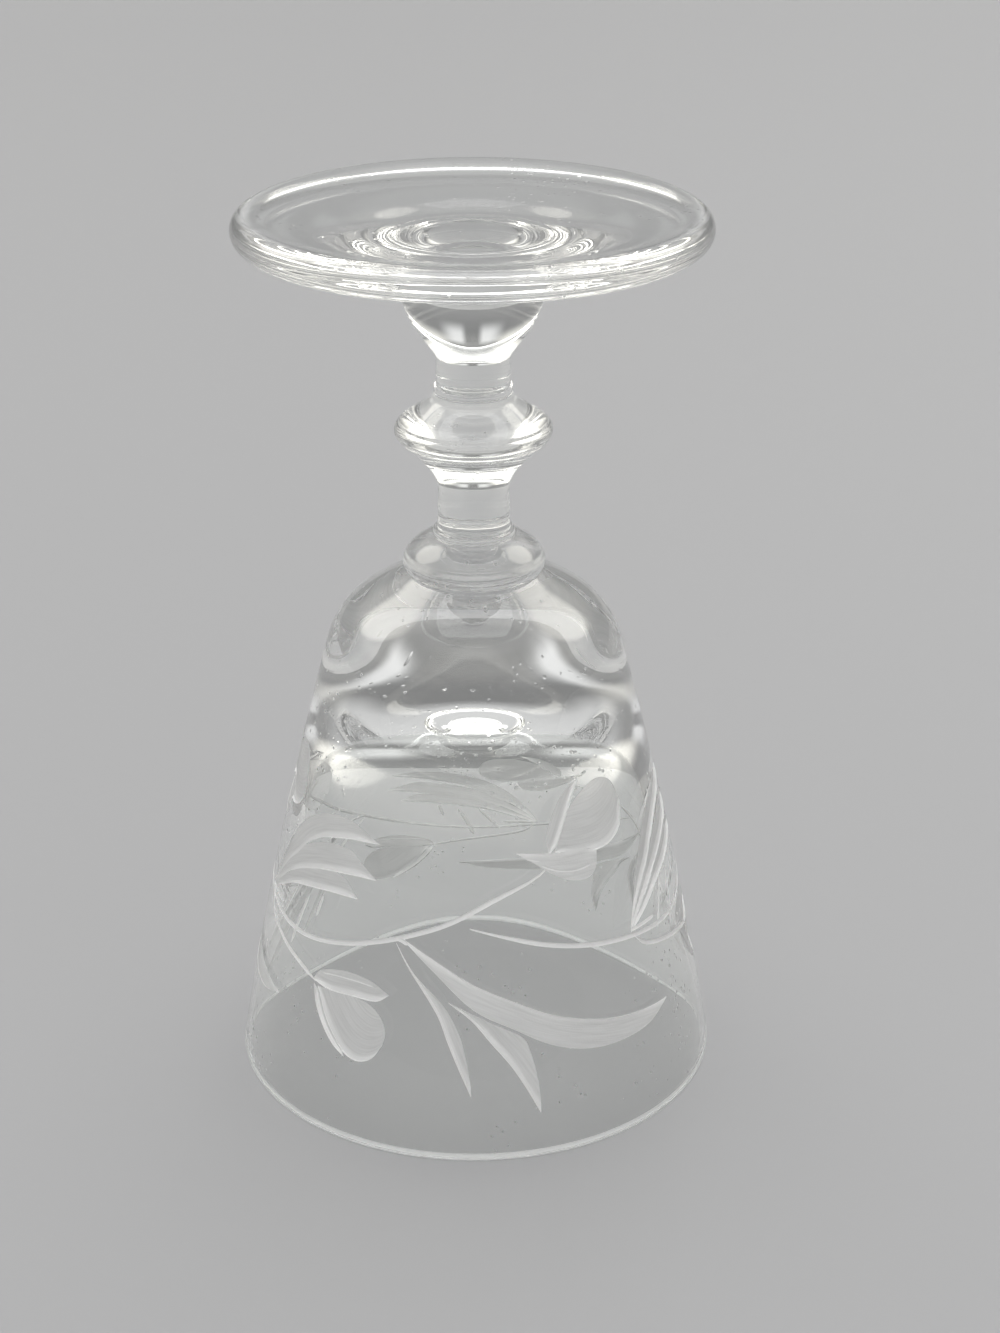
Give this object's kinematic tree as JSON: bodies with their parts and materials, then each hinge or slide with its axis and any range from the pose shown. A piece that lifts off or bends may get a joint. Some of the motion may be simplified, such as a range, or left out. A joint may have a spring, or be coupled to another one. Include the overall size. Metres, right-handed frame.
{
  "type": "cordial glass",
  "caption": "Small stemmed cordial glass standing on its rim: flared bell bowl with cut flowers, collar, short stem with a disc knop, dome and flat foot.",
  "frame": {"origin": "centre of the rim circle, in the plane that the rim rests on with the glass turned over", "axes": "+Z is the axis of the glass and points up from the rim to the foot, +X to the right and +Y away from the viewer; turned 180 degrees about X the glass stands upright on its foot"},
  "size_m": [0.0502, 0.0502, 0.0906],
  "materials": {
    "clear_glass": "polished"
  },
  "bodies": {
    "root": {"bowl": "clear_glass", "collar": "clear_glass", "upper_stem": "clear_glass", "knop": "clear_glass", "lower_stem": "clear_glass", "foot_dome": "clear_glass", "foot": "clear_glass"}
  },
  "joints": []
}
